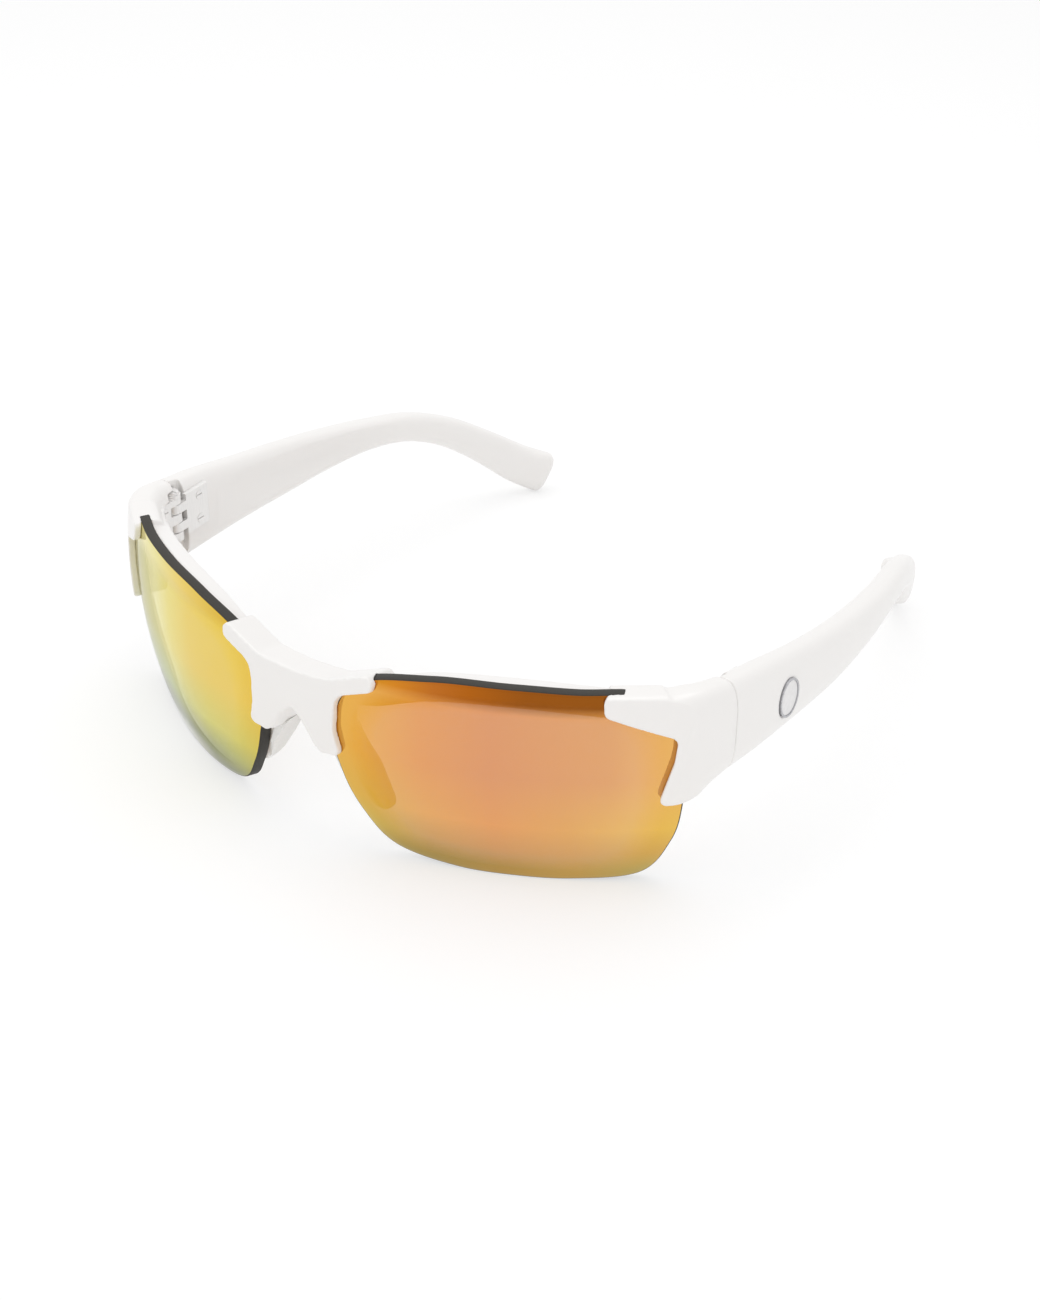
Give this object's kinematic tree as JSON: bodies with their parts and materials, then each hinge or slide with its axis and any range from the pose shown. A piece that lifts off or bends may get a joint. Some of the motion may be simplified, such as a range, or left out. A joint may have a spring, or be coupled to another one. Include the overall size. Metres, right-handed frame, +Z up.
{
  "type": "wraparound sport sunglasses",
  "caption": "Half-rim wraparound sport sunglasses with a glossy white frame, amber mirror lenses, folding temples and soft nose pads",
  "frame": {"origin": "on the surface that the glasses stand on, under the middle of their box", "axes": "+Z up, -Y the way the wearer looks, +X the wearer's left"},
  "size_m": [0.144, 0.1517, 0.0414],
  "materials": {
    "white_gloss_plastic": "glossy moulded nylon, slightly warm white",
    "mirror_lens": "amber to green mirror coating on polycarbonate, grey cut edge",
    "soft_pad": "soft matt elastomer",
    "hinge_steel": "brushed stainless steel",
    "badge_rim": "satin metal rim",
    "badge_plate": "plain grey oval with no mark"
  },
  "bodies": {
    "front": {"front_frame": "white_gloss_plastic", "lens_left": "mirror_lens", "lens_right": "mirror_lens", "nose_pad_left": "soft_pad", "nose_pad_right": "soft_pad", "front_hinge_leaf_left": "hinge_steel", "front_hinge_leaf_right": "hinge_steel", "hinge_screw_left": "hinge_steel", "hinge_screw_right": "hinge_steel", "front_leaf_screws_left": "hinge_steel", "front_leaf_screws_right": "hinge_steel"},
    "temple_left": {"badge_plate_left": "badge_plate", "badge_rim_left": "badge_rim", "temple_hinge_leaf_left": "hinge_steel", "temple_leaf_screws_left": "hinge_steel", "temple_left": "white_gloss_plastic"},
    "temple_right": {"badge_plate_right": "badge_plate", "badge_rim_right": "badge_rim", "temple_hinge_leaf_right": "hinge_steel", "temple_leaf_screws_right": "hinge_steel", "temple_right": "white_gloss_plastic"}
  },
  "joints": [
    {"name": "temple_left_fold", "type": "hinge", "parent": "front", "child": "temple_left", "pos_m": [0.0649, -0.03776, 0.0322], "axis": [0, 0, 1], "range_deg": [0, 85]},
    {"name": "temple_right_fold", "type": "hinge", "parent": "front", "child": "temple_right", "pos_m": [-0.0649, -0.03776, 0.0322], "axis": [0, 0, -1], "range_deg": [0, 76]}
  ]
}
